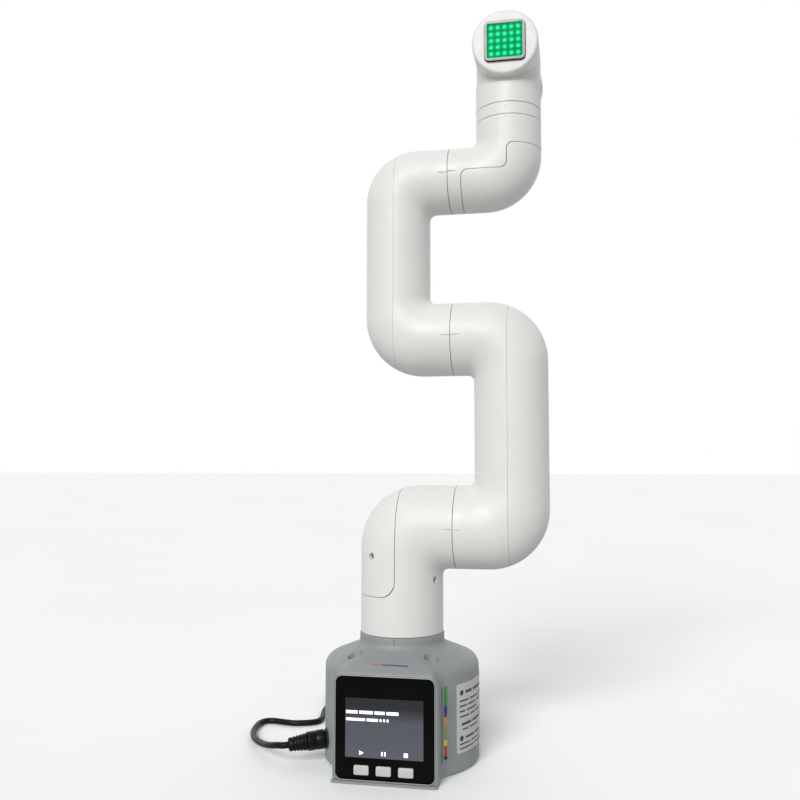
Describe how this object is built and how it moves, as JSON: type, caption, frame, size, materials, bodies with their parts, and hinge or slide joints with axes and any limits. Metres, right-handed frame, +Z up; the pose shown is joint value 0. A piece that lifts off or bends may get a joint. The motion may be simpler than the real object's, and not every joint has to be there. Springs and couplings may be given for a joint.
{
  "type": "collaborative robot arm",
  "caption": "Desktop six-axis robot arm with bent tube links, a base with a screen and buttons, an LED panel on the head and a tool flange.",
  "frame": {"origin": "middle of the base's underside, below the axis of the first joint", "axes": "+Z up along the first joint's axis, -Y out of the screen, +X towards the side that the upper arm stands on"},
  "size_m": [0.1889, 0.187, 0.4303],
  "materials": {
    "arm_white": "fine satin moulded texture",
    "base_grey": "fine matt moulded texture",
    "dark_plastic": "fine matt texture",
    "display_black": "polished",
    "screen": "lit screen behind the front panel",
    "circuit_board": "solder mask",
    "button_grey": "satin",
    "label_paper": "printed label",
    "label_colours": "printed label",
    "plug_black": "moulded satin",
    "lead_rubber": "smooth flexible jacket",
    "led_bezel": "satin",
    "led_green": "lit diffuser",
    "servo_black": "moulded",
    "bare_metal": "turned"
  },
  "bodies": {
    "base": {"base_housing": "base_grey", "base_plate": "bare_metal", "base_screw_1": "bare_metal", "base_screw_2": "bare_metal", "base_screw_3": "bare_metal", "base_screw_4": "bare_metal", "j1_servo": "servo_black", "j1_bearing": "bare_metal", "controller_case": "button_grey", "display_glass": "display_black", "lcd_panel": "screen", "controller_board": "circuit_board", "pin_header": "dark_plastic", "usb_port": "bare_metal", "header_label": "label_colours", "rating_label": "label_paper", "dc_jack": "dark_plastic", "dc_plug": "plug_black", "plug_boot": "lead_rubber", "power_cord_front": "lead_rubber", "power_cord_rear": "lead_rubber", "cord_coil": "lead_rubber", "coil_tie": "lead_rubber", "adapter_body": "plug_black", "adapter_pin_1": "bare_metal", "adapter_pin_2": "bare_metal", "adapter_relief": "lead_rubber"},
    "left_button": {"button_left": "button_grey"},
    "middle_button": {"button_middle": "button_grey"},
    "right_button": {"button_right": "button_grey"},
    "shoulder": {"shoulder_shell": "arm_white", "shoulder_cover": "arm_white", "shoulder_screw_left": "bare_metal", "shoulder_screw_right": "bare_metal", "j1_horn": "bare_metal", "j2_servo": "servo_black"},
    "upper_arm": {"upper_arm_shell": "arm_white", "upper_arm_cover": "arm_white", "j2_horn": "bare_metal", "j3_servo": "servo_black"},
    "forearm": {"forearm_shell": "arm_white", "forearm_cover": "arm_white", "j3_horn": "bare_metal", "j4_servo": "servo_black"},
    "wrist": {"wrist_shell": "arm_white", "wrist_cover": "arm_white", "j4_horn": "bare_metal", "j5_servo": "servo_black"},
    "head": {"wrist_band": "arm_white", "j5_horn": "bare_metal", "head_shell": "arm_white", "j6_servo": "servo_black", "led_case": "led_bezel", "led_board": "circuit_board"},
    "led_button": {"led_window": "led_green"},
    "flange": {"tool_flange": "arm_white", "j6_horn": "bare_metal", "flange_screw": "bare_metal"}
  },
  "joints": [
    {"name": "joint_1", "type": "hinge", "parent": "base", "child": "shoulder", "pos_m": [0, 0, 0.0713], "axis": [0, 0, 1], "range_deg": [-168, 168]},
    {"name": "joint_2", "type": "hinge", "parent": "shoulder", "child": "upper_arm", "pos_m": [0.033, 0, 0.13156], "axis": [1, 0, 0], "range_deg": [-135, 135]},
    {"name": "joint_3", "type": "hinge", "parent": "upper_arm", "child": "forearm", "pos_m": [0.0317, 0, 0.24196], "axis": [-1, 0, 0], "range_deg": [-150, 150]},
    {"name": "joint_4", "type": "hinge", "parent": "forearm", "child": "wrist", "pos_m": [0.0301, 0, 0.33796], "axis": [1, 0, 0], "range_deg": [-135, 130]},
    {"name": "joint_5", "type": "hinge", "parent": "wrist", "child": "head", "pos_m": [0.06462, 0, 0.3703], "axis": [0, 0, 1], "range_deg": [-165, 165]},
    {"name": "joint_6", "type": "hinge", "parent": "head", "child": "flange", "pos_m": [0.06462, 0.0343, 0.41114], "axis": [0, 1, 0], "range_deg": [-175, 175]},
    {"name": "press_left", "type": "slide", "parent": "base", "child": "left_button", "axis": [0, 1, 0], "range_m": [0, 0.0005], "stiffness_N_per_m": 300},
    {"name": "press_middle", "type": "slide", "parent": "base", "child": "middle_button", "axis": [0, 1, 0], "range_m": [0, 0.0005], "stiffness_N_per_m": 300},
    {"name": "press_right", "type": "slide", "parent": "base", "child": "right_button", "axis": [0, 1, 0], "range_m": [0, 0.0005], "stiffness_N_per_m": 300},
    {"name": "press_led", "type": "slide", "parent": "head", "child": "led_button", "axis": [0, 1, 0], "range_m": [0, 0.0005], "stiffness_N_per_m": 600}
  ]
}
